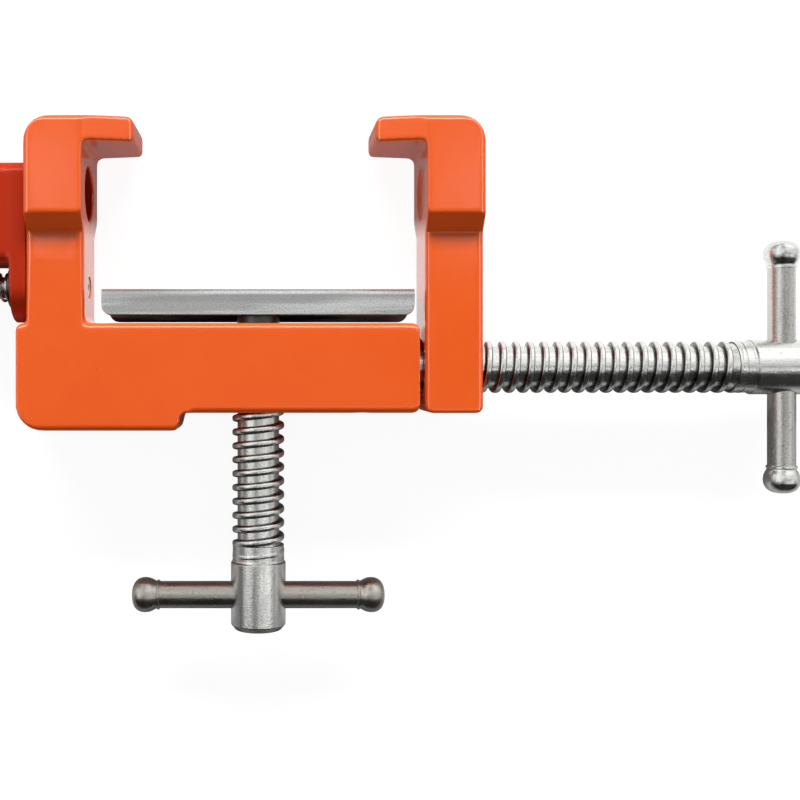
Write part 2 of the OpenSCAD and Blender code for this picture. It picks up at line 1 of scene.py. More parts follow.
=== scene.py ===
# %% [markdown]
# # Face frame clamp
# A cabinet maker's clamp. Two orange castings close on a cabinet's frame, a steel plate rises under
# it, and a hinged guide keeps the drill square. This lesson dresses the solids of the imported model:
# each one is replaced by a finer mesh with the finish of the real piece. The solids are in metres
# and already in place, so each piece below is made right where it sits, in millimetres. Only the
# camera's and the lamps' places are in metres.

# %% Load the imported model
import math

import bmesh
import bpy
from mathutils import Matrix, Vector


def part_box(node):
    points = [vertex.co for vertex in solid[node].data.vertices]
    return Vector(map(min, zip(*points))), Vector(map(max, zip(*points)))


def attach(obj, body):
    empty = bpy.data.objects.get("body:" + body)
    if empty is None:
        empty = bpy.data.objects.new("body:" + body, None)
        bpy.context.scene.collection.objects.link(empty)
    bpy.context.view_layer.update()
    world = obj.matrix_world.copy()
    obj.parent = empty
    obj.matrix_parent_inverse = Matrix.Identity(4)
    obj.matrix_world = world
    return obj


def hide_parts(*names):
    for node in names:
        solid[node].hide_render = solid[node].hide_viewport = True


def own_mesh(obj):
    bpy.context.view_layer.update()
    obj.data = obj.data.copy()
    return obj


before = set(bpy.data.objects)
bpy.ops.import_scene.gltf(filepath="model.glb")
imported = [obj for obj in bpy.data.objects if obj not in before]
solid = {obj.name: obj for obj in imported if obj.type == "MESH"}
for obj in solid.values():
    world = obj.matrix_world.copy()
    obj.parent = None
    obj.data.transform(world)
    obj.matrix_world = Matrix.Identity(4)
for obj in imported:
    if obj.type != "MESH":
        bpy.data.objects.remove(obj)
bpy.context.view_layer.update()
MM = 0.001


def span(node):
    """The low and the high corner of a solid, in millimetres."""
    return [[c / MM for c in corner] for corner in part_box(node)]


# %% [markdown]
# ## The camera
# The photograph looks straight down on the clamp, which lies on its back. The inner faces of both
# jaws show, so the lens is near, 260 mm over the clamp and level with its beam. That point isn't in
# the middle of the picture: the picture was cropped, which the camera's shift repeats without
# turning the camera.

# %% Camera
lens = bpy.data.cameras.new("Camera")
camera = bpy.data.objects.new("Camera", lens)
bpy.context.scene.collection.objects.link(camera)
camera.location = (0.041, -0.0392, 0.260)
lens.sensor_width = 36
lens.lens = 50.7
lens.shift_x, lens.shift_y = 0.166, -0.045
lens.clip_start = 0.01
bpy.context.scene.camera = camera
print("camera", [round(c, 4) for c in camera.location], "lens", lens.lens)

# %% [markdown]
# ## Tools for meshes
# Every piece is made in millimetres and scaled to metres once, when its mesh is made. Modifiers do
# the work that a file or a cutter does on the bench, and are then turned into plain mesh, so that
# the piece is finished.


# %% Make a piece, and turn its modifiers into mesh
def new_piece(name, points, faces):
    """A mesh from points in millimetres, with doubled points joined and faces turned outwards."""
    mesh = bpy.data.meshes.new(name)
    mesh.from_pydata([[c * MM for c in p] for p in points], [], faces)
    form = bmesh.new()
    form.from_mesh(mesh)
    bmesh.ops.remove_doubles(form, verts=form.verts, dist=1e-7)
    bmesh.ops.holes_fill(form, edges=form.edges, sides=0)
    bmesh.ops.recalc_face_normals(form, faces=form.faces)
    form.to_mesh(mesh)
    form.free()
    piece = bpy.data.objects.new(name, mesh)
    bpy.context.scene.collection.objects.link(piece)
    return piece


def settle(piece):
    """Turns a piece's modifiers into plain mesh."""
    bpy.context.view_layer.update()
    made = piece.evaluated_get(bpy.context.evaluated_depsgraph_get())
    mesh = bpy.data.meshes.new_from_object(made)
    piece.modifiers.clear()
    piece.data = mesh
    return piece


def modify(piece, kind, **settings):
    """Adds one modifier with its settings."""
    modifier = piece.modifiers.new(kind.title(), kind)
    for name, value in settings.items():
        setattr(modifier, name, value)
    return modifier


def cut(piece, tool):
    """Takes the tool's shape away from the piece."""
    modify(piece, "BOOLEAN", object=tool, solver="EXACT")
    settle(piece)
    bpy.data.objects.remove(tool)


def shade(piece, angle=35):
    """Smooth shading that breaks at edges sharper than the angle, and keeps flat faces flat."""
    piece.data.shade_smooth()
    piece.data.set_sharp_from_angle(angle=math.radians(angle))
    modify(piece, "WEIGHTED_NORMAL", keep_sharp=True)
    return settle(piece)


# %% Rounded outlines
def rounded(path, closed=True, steps=5):
    """A line through corners given as (x, y, radius), each corner rounded."""
    line = []
    for i, (x, y, r) in enumerate(path):
        if r == 0 or (not closed and i in (0, len(path) - 1)):
            line.append((x, y))
            continue
        b = Vector((x, y))
        u = (Vector(path[i - 1][:2]) - b).normalized()
        v = (Vector(path[(i + 1) % len(path)][:2]) - b).normalized()
        half = u.angle(v) / 2
        middle = b + (u + v).normalized() * r / math.sin(half)
        start = b + u * r / math.tan(half) - middle
        end = b + v * r / math.tan(half) - middle
        for k in range(steps + 1):
            line.append(tuple(middle + start.lerp(end, k / steps).normalized() * r))
    return line


# %% Turned forms
def turned(profile, sides=64):
    """Points and faces of a form turned about Z, from (radius, height) pairs. A profile that ends
    where it starts makes a ring, and any other starts and ends on the axis."""
    ring_form = profile[0] == profile[-1]
    points, rings, faces = [], [], []
    for r, t in profile[: -1 if ring_form else None]:
        count = 1 if r == 0 else sides
        rings.append([len(points) + i for i in range(count)])
        points += [
            (r * math.cos(math.tau * i / sides), r * math.sin(math.tau * i / sides), t)
            for i in range(count)
        ]
    if ring_form:
        rings.append(rings[0])
    for a, b in zip(rings, rings[1:]):
        for i in range(sides):
            j = i + 1
            corners = [a[i % len(a)], a[j % len(a)], b[j % len(b)], b[i % len(b)]]
            faces.append(list(dict.fromkeys(corners)))
    return points, faces


def joined(*forms):
    """Several (points, faces) forms as one."""
    points, faces = [], []
    for p, f in forms:
        faces += [[i + len(points) for i in face] for face in f]
        points += list(p)
    return points, faces


def moved(form, x=0, y=0, z=0):
    """Moves a form that stays along Z."""
    return [(u + x, v + y, t + z) for u, v, t in form[0]], form[1]


def along_x(form, x=0, y=0, z=0):
    """Lays a form that was made along Z along X."""
    return [(t + x, u + y, v + z) for u, v, t in form[0]], form[1]


def along_y(form, x=0, y=0, z=0):
    """Lays a form that was made along Z along Y."""
    return [(v + x, t + y, u + z) for u, v, t in form[0]], form[1]


def round_bar(radius, low, high, chamfer=0.3):
    """The profile of a round bar with softened ends."""
    corners = [(0, low, 0), (radius, low, chamfer), (radius, high, chamfer), (0, high, 0)]
    return rounded(corners, closed=False)


def ring(inner, outer, low, high, edge):
    """The profile of a ring with softened edges."""
    corners = [(inner, low, edge), (outer, low, edge), (outer, high, edge), (inner, high, edge)]
    line = rounded(corners, steps=2)
    return line + line[:1]


# %% [markdown]
# ## The castings
# The body with the fixed jaw, the moving jaw and the drill guide are cast. Metal that was poured
# into a sand or die mould has no sharp edge, and thick enamel softens it once more. A bevel on
# every edge would need care where the slopes, hooks and bores meet. Instead the solid's copy is
# filled with small cubes, voxels, and a new skin is drawn round them, whose even mesh a smoothing
# modifier can round everywhere at once, as a tumbler does with stones. Flat faces stay flat,
# because smoothing moves only points whose neighbours pull to one side.

# %% Soft castings
BEAM_TOP, BEAM_HALF, PAST_COLUMN_HALF, BLEND_LEN = -30, 8.4, 8.75, 14


def level_column(piece):
    """Lets the column's front and back run down into the beam's, which lie 0.2 mm lower."""
    for point in piece.data.vertices:
        x, y, z = (c / MM for c in point.co)
        if BEAM_HALF < abs(z) < PAST_COLUMN_HALF:
            share = min(1, max(0, (y - BEAM_TOP) / BLEND_LEN))
            point.co.z = math.copysign(BEAM_HALF + (abs(z) - BEAM_HALF) * share, z) * MM


def casting(name, body, voxel=0.4, rounds=8):
    """A copy of a solid with every edge softened."""
    piece = solid[name].copy()
    piece.data = solid[name].data.copy()
    for key in list(piece.keys()):
        del piece[key]
    piece.name = name + "_cast"
    piece.parent = None
    bpy.context.scene.collection.objects.link(piece)
    form = bmesh.new()
    form.from_mesh(piece.data)
    bmesh.ops.remove_doubles(form, verts=form.verts, dist=1e-6)
    form.to_mesh(piece.data)
    form.free()
    modify(piece, "REMESH", mode="VOXEL", voxel_size=voxel * MM)
    modify(piece, "SMOOTH", factor=0.5, iterations=rounds)
    settle(piece)
    if name == "body_casting":
        level_column(piece)
    piece.data.shade_smooth()
    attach(piece, body)
    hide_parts(name)
    print(name, "skin of", len(piece.data.polygons), "faces")
    return piece


body_casting = casting("body_casting", "frame")
moving_jaw = casting("moving_jaw", "moving_jaw")
drill_guide = casting("drill_guide", "drill_guide")

# %% [markdown]
# Two holes cross the fixed jaw: the driver hole, and the pivot bolt's below it. Both are drilled
# with a clean edge, which the soft skin can't show. A thin sleeve with a chamfered mouth is set in
# the driver hole, in the darker enamel because the hole lies in its own shade, and a thin ring in
# the other.

# %% Bored wall of the driver hole, and the pivot hole's mouth
JAW_BACK = span("drill_guide")[1][0] + 0.05
PIVOT_Y, PIVOT_HOLE_R = -21.6, 2.5
HOLE_R, SLEEVE_R, JUST_INSIDE = 6.2, 7.0, -0.04
bored = rounded(
    [
        (HOLE_R, JAW_BACK + 0.05, 0.1),
        (SLEEVE_R, JAW_BACK + 0.05, 0.1),
        (SLEEVE_R, JUST_INSIDE, 0.05),
        (HOLE_R + 0.4, JUST_INSIDE, 0.05),
        (HOLE_R, -0.45, 0.05),
    ],
    steps=2,
)
bored_wall = new_piece("driver_hole_wall", *along_x(turned(bored + bored[:1], 96)))
mouth = ring(PIVOT_HOLE_R, 3.6, -1.6, -0.03, 0.04)
pivot_mouth = new_piece("pivot_bore_mouth", *along_x(turned(mouth, 64), y=PIVOT_Y))
for piece in (bored_wall, pivot_mouth):
    shade(piece, 40)
    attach(piece, "frame")
print("driver hole wall from", round(JAW_BACK, 2))

# %% [markdown]
# ## The screws
# Both screws have a coarse rolled thread: rounded ridges with wide roots, 3.2 mm from one to the
# next. A round bar is a grid of rings and lengthwise lines. If each ring is slanted so that after
# one turn it meets the ring one pitch further on, the grid's own lines follow the thread, and the
# ridge's profile can be read off row by row. Rows that run past an end are pressed flat onto it,
# where their doubled points are joined. Towards the hub the roots rise to the full bar, because
# that is where the thread roller stops.

# %% Thread
PITCH, ROOT, CREST = 3.2, 4.8, 6.0
RUN_OUT_R = 5.9
# Read off the photograph: where the ridges stand along both screws, in turns
THREAD_START = 0.94


def thread(low, high, hand, free_end, hub_end, start, sides=48):
    """A threaded length along Z. hand is 1 for a right-handed thread and -1 for a left-handed one.
    free_end and hub_end are the heights where it runs out, and start turns it, in turns."""
    ridge = [(0, 0), (0.02, 0.36), (0.06, 0.7), (0.11, 0.89), (0.18, 0.98), (0.25, 1)]
    ridge += [(0.32, 1), (0.39, 0.98), (0.46, 0.89), (0.51, 0.7), (0.55, 0.36), (0.57, 0)]
    ridge += [(0.71, 0), (0.85, 0)]
    rows = len(ridge)
    points, faces = [], []
    for j in range(-3 * rows, (math.ceil((high - low) / PITCH) + 3) * rows):
        share, rise = ridge[j % rows]
        for i in range(sides):
            z = low + (j // rows + share + hand * i / sides + start) * PITCH
            z = min(max(z, low), high)
            free = min(1, abs(z - free_end) / 2)
            full = max(0, 1 - abs(z - hub_end) / 3)
            r = ROOT + (CREST - ROOT) * max(rise * free, full)
            a = math.tau * i / sides
            points.append((r * math.cos(a), r * math.sin(a), z))
    count = len(points) // sides
    for j in range(count - 1):
        for i in range(sides):
            a, b = (j, j + 1)
            c, d = (a, b) if i + 1 < sides else (a + hand * rows, b + hand * rows)
            if 0 <= c and d < count:
                n = (i + 1) % sides
                faces.append([a * sides + i, c * sides + n, d * sides + n, b * sides + i])
    return points, faces


# %% [markdown]
# Each screw ends in a hub with a cross hole for its T-bar. The hub is turned: it starts with a
# small step and a bevel, and its free end has a bevel 1 mm wide, which shows dark in the
# photograph because it faces away from the light.

# %% Hub
HUB_LEN, HUB_R, CROSS_AT, CROSS_R = 16.3, 6.3, 8.5, 3.2


def hub(name, place):
    """A hub along Z from 0, laid in place by the given function. Its cross hole is cut later."""
    profile = [(0, 0, 0), (5.95, 0, 0.2), (6.0, 0.6, 0.05), (HUB_R, 0.95, 0.2)]
    profile += [(HUB_R, HUB_LEN - 1.2, 0.4), (HUB_R - 1, HUB_LEN, 0.4), (0, HUB_LEN, 0)]
    return new_piece(name, *place(turned(rounded(profile, closed=False))))


def merge(name, *pieces):
    """Joins pieces into one mesh."""
    form = bmesh.new()
    for piece in pieces:
        form.from_mesh(piece.data)
        bpy.data.objects.remove(piece)
    mesh = bpy.data.meshes.new(name)
    form.to_mesh(mesh)
    form.free()
    piece = bpy.data.objects.new(name, mesh)
    bpy.context.scene.collection.objects.link(piece)
    return piece


# %% [markdown]
# The clamp screw pushes and pulls the moving jaw. It doesn't travel itself: a groove in its
# journal, inside the beam, holds it between two pins. Its thread is left-handed, so that turning it
# clockwise closes the jaw.

# %% Clamp screw
CLAMP_Y, CLAMP_THREAD_X = -39.9, 78.4
CLAMP_HUB_X = span("clamp_screw")[1][0] - HUB_LEN
CLAMP_BAR_X = CLAMP_HUB_X + CROSS_AT
JOURNAL_R, GROOVE_R = 3.9, 2.9
journal = [(0, 46.8, 0), (JOURNAL_R, 46.8, 0.6), (JOURNAL_R, 60.15, 0.15), (GROOVE_R, 60.15, 0.3)]
journal += [(GROOVE_R, 64.25, 0.3), (JOURNAL_R, 64.25, 0.15), (JOURNAL_R, 79.0, 0), (0, 79.0, 0)]
clamp_form = joined(
    turned(rounded(journal, closed=False)),
    thread(CLAMP_THREAD_X, CLAMP_HUB_X - 1.5, -1, CLAMP_THREAD_X, CLAMP_HUB_X - 2.0, THREAD_START),
    turned(round_bar(RUN_OUT_R, CLAMP_HUB_X - 3.2, CLAMP_HUB_X + 0.5, 0.1)),
)
clamp_rod = new_piece("clamp_rod", *along_x(clamp_form, y=CLAMP_Y))
clamp_hub = hub("clamp_hub", lambda form: along_x(form, x=CLAMP_HUB_X, y=CLAMP_Y))
cut(clamp_hub, new_piece("drill", *along_y(turned(round_bar(CROSS_R, -50, -30)), x=CLAMP_BAR_X)))
clamp_screw = shade(merge("clamp_screw_fine", clamp_rod, clamp_hub), 50)
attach(clamp_screw, "clamp_screw")
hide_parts("clamp_screw")
print("clamp screw", len(clamp_screw.data.polygons), "faces, hub from", round(CLAMP_HUB_X, 2))

# %% [markdown]
# The lift screw raises the pressure plate. Above its thread it is turned down to a shoulder and a
# rivet, whose head is spread flush into the top of the plate. The neck under the shoulder is a
# piece of its own, given dark steel as painted shade for the shade it lies in under the plate; the
# rest is bright zinc.

# %% Lift screw
LIFT_X, LIFT_THREAD_Y, LIFT_NECK_R = 38.95, -30.4, 4.9
LIFT_HUB_Y = span("lift_screw")[0][1] + HUB_LEN
LIFT_BAR_Y = LIFT_HUB_Y - CROSS_AT
spigot = [(0, -26.0, 0), (3.0, -26.0, 0), (3.0, -23.45, 0.2), (4.1, -22.33, 0.1), (0, -22.31, 0)]
lift_form = joined(
    thread(LIFT_HUB_Y + 0.3, LIFT_THREAD_Y, 1, LIFT_THREAD_Y, LIFT_HUB_Y + 1.0, THREAD_START),
    turned(round_bar(RUN_OUT_R, LIFT_HUB_Y - 0.5, LIFT_HUB_Y + 3.2, 0.1)),
    turned(rounded(spigot, closed=False)),
)
lift_rod = new_piece("lift_rod", *along_y(lift_form, x=LIFT_X))
# The neck is given dark steel further on, as painted shade for the shade it lies in under the plate
neck_form = turned(round_bar(LIFT_NECK_R, -31.2, -24.9, 0.3))
lift_neck_in_shade = new_piece("lift_screw_neck", *along_y(neck_form, x=LIFT_X))
shade(lift_neck_in_shade, 40)
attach(lift_neck_in_shade, "lift_screw")


def upside_down(form):
    """Turns a form that was made along Z end over end."""
    return [(u, v, -t) for u, v, t in form[0]], form[1]


lift_hub = hub("lift_hub", lambda form: along_y(upside_down(form), x=LIFT_X, y=LIFT_HUB_Y))
cut(lift_hub, new_piece("drill", *along_x(turned(round_bar(CROSS_R, 28, 50)), y=LIFT_BAR_Y)))
lift_screw = shade(merge("lift_screw_fine", lift_rod, lift_hub), 50)
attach(lift_screw, "lift_screw")
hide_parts("lift_screw")
print("lift screw", len(lift_screw.data.polygons), "faces, hub from", round(LIFT_HUB_Y, 2))

# %% [markdown]
# ## T-bars and knobs
# A T-bar slides in its hub until a knob stops it. The knobs are turned balls with a flattened end
# and a narrow collar at the neck. They are pressed onto the bar, and the collar is a touch thicker
# than the bar, so the joint shows as a line without being drawn.

# %% T-bars and knobs
BAR_R, BAR_HALF, KNOB_LEN, KNOB_R = 3.1, 29.1, 6.4, 4.0


def knob_profile():
    """From the neck to the end of the knob, as (radius, distance from the neck)."""
    line = [(0, 0), (3.25, 0), (3.4, 0.15), (3.4, 0.5), (3.22, 0.7)]
    middle = 3.3
    for degrees in range(-36, 0, 6):
        a = math.radians(degrees)
        line.append((KNOB_R * math.cos(a), middle + KNOB_R * math.sin(a)))
    for degrees in range(0, 90, 5):
        a = math.radians(degrees)
        r = KNOB_R * math.cos(a) ** 0.75
        line.append((r, middle + (KNOB_LEN - middle) * math.sin(a) ** 0.9))
    return line + [(0, KNOB_LEN)]


def t_bar(bar_name, place, body, low_knob, high_knob):
    """A bar along Z, centred on 0, with a knob on each end, laid in place by the given function."""
    neck = BAR_HALF - KNOB_LEN
    rod_form = turned(round_bar(BAR_R, -neck - 0.2, neck + 0.2, 0.1))
    rod = new_piece(bar_name + "_rod", *place(rod_form))
    balls = []
    for node, side in ((low_knob, -1), (high_knob, 1)):
        profile = [(r, side * (neck + t)) for r, t in knob_profile()]
        balls.append(new_piece(node + "_ball", *place(turned(profile))))
    for piece, node in zip([rod] + balls, (bar_name, low_knob, high_knob)):
        shade(piece, 40)
        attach(piece, body)
        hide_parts(node)
    return rod, balls


clamp_bar, clamp_knobs = t_bar(
    "clamp_tommy_bar",
    lambda form: along_y(form, x=CLAMP_BAR_X, y=CLAMP_Y),
    "clamp_bar",
    "clamp_knob_lower",
    "clamp_knob_upper",
)
lift_bar, lift_knobs = t_bar(
    "lift_tommy_bar",
    lambda form: along_x(form, x=LIFT_X, y=LIFT_BAR_Y),
    "lift_bar",
    "lift_knob_left",
    "lift_knob_right",
)
print("T-bars at", round(CLAMP_BAR_X, 2), "and", round(LIFT_BAR_Y, 2))

# %% [markdown]
# ## The pressure plate
# The plate is a channel bent from 1.6 mm sheet. Its flanges stand over the beam, the front one a
# little shorter, and their lower corners are cut round. A channel has the same cross-section all
# along, so the section is drawn once and repeated at stations along the plate. Where a corner is
# cut, the stations stand close together, and the flanges' lower edges rise with the cut.

# %% Pressure plate
SHEET, BEND_R, CORNER_R, FRONT_FLANGE_Y = 1.6, 1.35, 2.4, -28.3
SPIGOT_HOLE_R, THRUST_R = 3.05, 5.2


def channel(low, high, front_y, sheet, corner):
    """A bent channel along X between two corners, open below, with its flanges' corners rounded."""
    half_w = high[2]
    inner, under = half_w - sheet, high[1] - sheet
    section = rounded(
        [(-half_w, low[1], 0.1), (-half_w, high[1], BEND_R), (half_w, high[1], BEND_R)]
        + [(half_w, front_y, 0.3), (inner, front_y, 0.3), (inner, under, 0.5), (-inner, under, 0.5)]
        + [(-inner, low[1], 0.1)]
    )
    reach = [corner * (1 - math.cos(math.radians(a))) for a in range(0, 91, 9)]
    middle = (low[0] + high[0]) / 2
    points, faces = [], []
    for x in [low[0] + d for d in reach] + [middle] + [high[0] - d for d in reversed(reach)]:
        inset = min(x - low[0], high[0] - x, corner)
        lift = corner - math.sqrt(max(0, corner**2 - (corner - inset) ** 2))
        points += [(x, y + (lift if y < front_y + 0.4 else 0), z) for z, y in section]
    n = len(section)
    for s in range(len(points) // n - 1):
        for i in range(n):
            j = (i + 1) % n
            faces.append([s * n + i, s * n + j, (s + 1) * n + j, (s + 1) * n + i])
    faces.append(list(range(n)))
    faces.append([len(points) - 1 - i for i in range(n)])
    return points, faces


plate_low, plate_high = span("pressure_plate")
# The rear flange reaches as low as it can: with the plate screwed right down, it stays 0.05 mm
# above the beam
plate_low[1] -= 0.15
plate_form = channel(plate_low, plate_high, FRONT_FLANGE_Y, SHEET, CORNER_R)
pressure_plate = new_piece("pressure_plate_bent", *plate_form)
seat = [(0, -25), (SPIGOT_HOLE_R, -25), (SPIGOT_HOLE_R, -23.42), (4.22, -22.25), (4.22, -21)]
seat += [(0, -21)]
cut(pressure_plate, new_piece("drill", *along_y(turned(seat), x=LIFT_X)))
modify(pressure_plate, "BEVEL", width=0.18 * MM, segments=2, limit_method="ANGLE", angle_limit=1.0)
settle(pressure_plate)
shade(pressure_plate, 40)
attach(pressure_plate, "pressure_plate")
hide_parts("pressure_plate")


def washer(name, low, high, inner, outer, place, body):
    """A flat washer between two heights."""
    piece = new_piece(name + "_turned", *place(turned(ring(inner, outer, low, high, 0.15))))
    shade(piece, 40)
    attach(piece, body)
    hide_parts(name)
    return piece


thrust_low, thrust_high = span("thrust_washer")
thrust_washer = washer(
    "thrust_washer",
    thrust_low[1],
    thrust_high[1],
    SPIGOT_HOLE_R,
    THRUST_R,
    lambda form: along_y(form, x=LIFT_X),
    "lift_carrier",
)
print("plate", len(pressure_plate.data.polygons), "faces")

# %% [markdown]
# ## The guide plate
# A flat L-shaped plate on the back of the moving jaw slides along the beam and keeps the jaw
# upright. It is milled from flat bar: an outline pushed through its thickness, with broken edges
# and two countersunk holes.

# %% Guide plate and its screws


def flat_plate(name, outline, low_z, high_z, edge):
    """A plate from an outline, with its edges broken."""
    n = len(outline)
    points = [(x, y, low_z) for x, y in outline] + [(x, y, high_z) for x, y in outline]
    faces = [list(range(n)), [n + i for i in range(n)]]
    faces += [[i, (i + 1) % n, n + (i + 1) % n, n + i] for i in range(n)]
    piece = new_piece(name, points, faces)
    modify(piece, "BEVEL", width=edge * MM, segments=2, limit_method="ANGLE", angle_limit=1.0)
    return settle(piece)


(back_x, tail_y, back_z), (head_x, head_y, guide_z) = span("guide_plate")
NECK_X, TAIL_TOP = 77.2, tail_y + 12
l_shape = [(back_x, tail_y, 2), (head_x, tail_y, 2), (head_x, head_y, 2), (NECK_X, head_y, 2)]
l_shape += [(NECK_X, TAIL_TOP, 2), (back_x, TAIL_TOP, 2)]
guide_plate = flat_plate("guide_plate_milled", rounded(l_shape), back_z, guide_z, 0.3)
guide_screws = []
for node in ("guide_screw_lower", "guide_screw_upper"):
    low, high = span(node)
    x, y = (low[0] + high[0]) / 2, (low[1] + high[1]) / 2
    sink = [(0, -13), (3.15, -13), (3.15, -12.03), (1.6, -10.5), (1.6, -8), (0, -8)]
    cut(guide_plate, new_piece("drill", *moved(turned(sink), x, y)))
    profile = [(0, -12.0, 0), (3.0, -12.0, 0.1), (1.5, -10.5, 0.2), (1.5, -4.6, 0.3), (0, -4.6, 0)]
    piece = new_piece(node + "_fine", *moved(turned(rounded(profile, closed=False), 48), x, y))
    key = [(0, -13), (1.33, -13), (1.33, -10.4), (0, -10.1)]
    cut(piece, new_piece("key", *moved(turned(key, 6), x, y)))
    shade(piece, 35)
    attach(piece, "moving_jaw")
    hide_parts(node)
    guide_screws.append(piece)
shade(guide_plate, 40)
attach(guide_plate, "moving_jaw")
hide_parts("guide_plate")
print("guide plate", len(guide_plate.data.polygons), "faces, screws", len(guide_screws))

# %% [markdown]
# ## The drill guide's bushing and pivot
# A hardened bushing leads the drill. The guide hangs on a slotted bolt, and a spring under the
# bolt's head holds it against the jaw. All of these are turned, except for the spring.

# %% Bushing, bolt and washer
far, near = span("drill_bushing")[0][0], span("drill_bushing")[1][0]
step = far + 1.5
BORE_R, BUSH_R, COLLAR_R = 2.45, 4.75, 6.0
bush = rounded(
    [(BORE_R, near, 0.25), (BUSH_R, near, 0.4), (BUSH_R, step, 0.1), (COLLAR_R, step, 0.25)]
    + [(COLLAR_R, far, 0.5), (3.3, far, 0.3), (BORE_R, far + 1.0, 0.5)],
    steps=3,
)
drill_bushing = new_piece("drill_bushing_turned", *along_x(turned(bush + bush[:1])))
shade(drill_bushing, 40)
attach(drill_bushing, "drill_guide")
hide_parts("drill_bushing")

head_end, bolt_end = span("pivot_bolt")[0][0], span("pivot_bolt")[1][0]
under_head = head_end + 3.4
HEAD_R, SHANK_R = 4.3, 2.45
bolt = [(0, head_end, 0), (HEAD_R, head_end, 0.5), (HEAD_R, under_head, 0.25)]
bolt += [(SHANK_R, under_head, 0.2), (SHANK_R, bolt_end, 0.5), (0, bolt_end, 0)]
bolt_form = turned(rounded(bolt, closed=False, steps=4))
pivot_bolt = new_piece("pivot_bolt_turned", *along_x(bolt_form, y=PIVOT_Y))
slot_depth, slot_half = 1.4, 0.6
slot = [
    (x, PIVOT_Y + y, z)
    for x in (head_end - 1, head_end + slot_depth)
    for y in (-slot_half, slot_half)
    for z in (-6, 6)
]
box = [[0, 1, 3, 2], [4, 6, 7, 5], [0, 4, 5, 1], [2, 3, 7, 6], [0, 2, 6, 4], [1, 5, 7, 3]]
cut(pivot_bolt, new_piece("slot", slot, box))
dimple = [(0, bolt_end - 0.9), (1.0, bolt_end + 0.1), (0, bolt_end + 0.1)]
cut(pivot_bolt, new_piece("dimple", *along_x(turned(dimple, 32), y=PIVOT_Y)))
shade(pivot_bolt, 40)
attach(pivot_bolt, "frame")
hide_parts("pivot_bolt")

washer_low, washer_high = span("pivot_washer")
pivot_washer = washer(
    "pivot_washer",
    washer_low[0],
    washer_high[0],
    2.6,
    4.6,
    lambda form: along_x(form, y=PIVOT_Y),
    "guide_slide",
)
print("bushing, bolt and washer made")

# %% [markdown]
# The spring is round wire wound into a coil whose end curls lie closed, so that it stands square. A
# tube is built round the coil's line: at each of its points a small ring of points stands square to
# the wire. When the guide is pulled out to swing it, the spring is pressed shorter; here the spring
# is only given a mesh of its own.

# %% Spring


def coil(length, radius, wire, open_curls, closed_curls, sides=10, per_curl=28):
    """A compression spring along Z from 0 to its length, as points and faces."""
    curls = open_curls + 2 * closed_curls
    tight = wire * 1.03
    loose = (length - wire - 2 * closed_curls * tight) / open_curls
    line = []
    for k in range(round(curls * per_curl) + 1):
        turn = k / per_curl
        height = wire / 2 + tight * min(turn, closed_curls)
        height += loose * min(max(turn - closed_curls, 0), open_curls)
        height += tight * max(turn - closed_curls - open_curls, 0)
        a = math.tau * turn
        line.append(Vector((radius * math.cos(a), radius * math.sin(a), height)))
    points, faces = [], []
    for k, p in enumerate(line):
        ahead = (line[min(k + 1, len(line) - 1)] - line[max(k - 1, 0)]).normalized()
        out = Vector((p.x, p.y, 0)).normalized()
        out = (out - ahead * out.dot(ahead)).normalized()
        up = ahead.cross(out)
        for s in range(sides):
            a = math.tau * s / sides
            points.append(tuple(p + (out * math.cos(a) + up * math.sin(a)) * wire / 2))
    for k in range(len(line) - 1):
        for s in range(sides):
            n = (s + 1) % sides
            faces.append([k * sides + s, k * sides + n, (k + 1) * sides + n, (k + 1) * sides + s])
    return points, faces


spring_x = span("pivot_spring")[0][0]
spring_form = coil(washer_low[0] - spring_x, 3.05, 0.7, 5.0, 0.75)
pivot_spring = new_piece("pivot_spring_wound", *along_x(spring_form, x=spring_x, y=PIVOT_Y))
shade(pivot_spring, 60)
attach(pivot_spring, "frame")
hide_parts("pivot_spring")
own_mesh(pivot_spring)
print("spring", len(pivot_spring.data.vertices), "points")

# %% [markdown]
# Two plain pins hold the clamp screw's journal. Only their lower ends show, in the beam's
# underside.

# %% Retaining pins
pins = []
for node in ("retaining_pin_front", "retaining_pin_rear"):
    low, high = span(node)
    profile = round_bar(2.0, low[1], high[1], 0.4)
    x, z = (low[0] + high[0]) / 2, (low[2] + high[2]) / 2
    piece = new_piece(node + "_fine", *along_y(turned(profile, 40), x=x, z=z))
    shade(piece, 40)
    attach(piece, "frame")
    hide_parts(node)
    pins.append(piece)
print("pins", [piece.name for piece in pins])

# %% [markdown]
# ## Finishes
# A material is a small network of nodes. One function below adds a node with its settings and its
# links, and another turns a colour that was picked from the photograph, written in sRGB hex, to the
# linear numbers that the renderer works in. Sizes in a pattern are given in millimetres: the mesh
# is in metres, so a noise whose grains are 2 mm wide has a scale of 1000 / 2.


# %% Colours and nodes
WHITE = (1, 1, 1, 1)


def linear(code):
    """An sRGB hex colour as linear red, green, blue and alpha."""
    parts = [int(code[i : i + 2], 16) / 255 for i in (1, 3, 5)]
    return [c / 12.92 if c <= 0.04045 else ((c + 0.055) / 1.055) ** 2.4 for c in parts] + [1]


def add(tree, kind, settings=None, sockets=None):
    """Adds a node. settings are its own options. sockets are its inputs, by name or number, each a
    value or another node's output."""
    node = tree.nodes.new(kind)
    for name, value in (settings or {}).items():
        setattr(node, name, value)
    for name, value in (sockets or {}).items():
        if isinstance(value, bpy.types.NodeSocket):
            tree.links.new(value, node.inputs[name])
        else:
            node.inputs[name].default_value = value
    return node


def grains(mm):
    """A noise's scale for grains of that width."""
    return 1000 / mm


def noise(tree, place, mm, detail=2):
    """A noise with grains of that width, from 0 to 1."""
    sockets = {"Vector": place, "Scale": grains(mm), "Detail": detail}
    return add(tree, "ShaderNodeTexNoise", None, sockets).outputs["Fac"]


